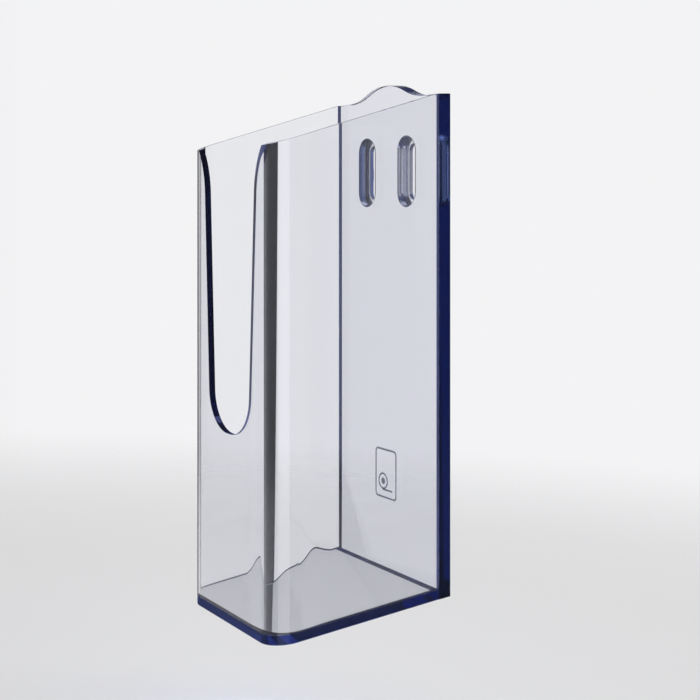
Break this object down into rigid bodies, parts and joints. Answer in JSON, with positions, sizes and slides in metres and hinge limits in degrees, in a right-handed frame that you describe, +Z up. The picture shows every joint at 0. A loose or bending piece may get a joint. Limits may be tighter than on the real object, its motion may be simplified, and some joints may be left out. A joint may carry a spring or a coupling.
{
  "type": "cling film dispenser",
  "caption": "Wall-hung open-topped box of clear acrylic for cling film or film sheets, with a raked top and floor, a tall hand opening in the front and two hanging slots.",
  "frame": {"origin": "on the wall face of the back plate, midway between the two hanging slots", "axes": "+Z up, +Y out of the wall face of the back plate towards the wall, +X to the right of a person facing the wall"},
  "size_m": [0.12, 0.108, 0.3472],
  "materials": {
    "acrylic_plate": "clear cast acrylic plate, polished faces, flame-polished edges that read deep blue",
    "acrylic_sheet": "clear acrylic sheet, line-bent corners, polished edges",
    "acrylic_base": "clear cast acrylic plate, fine handling scratches on its upper face",
    "print_ink": "thin satin screen-printed ink"
  },
  "bodies": {
    "root": {"back_plate": "acrylic_plate", "front_wrap": "acrylic_sheet", "base_plate": "acrylic_base", "printed_mark": "print_ink"}
  },
  "joints": []
}
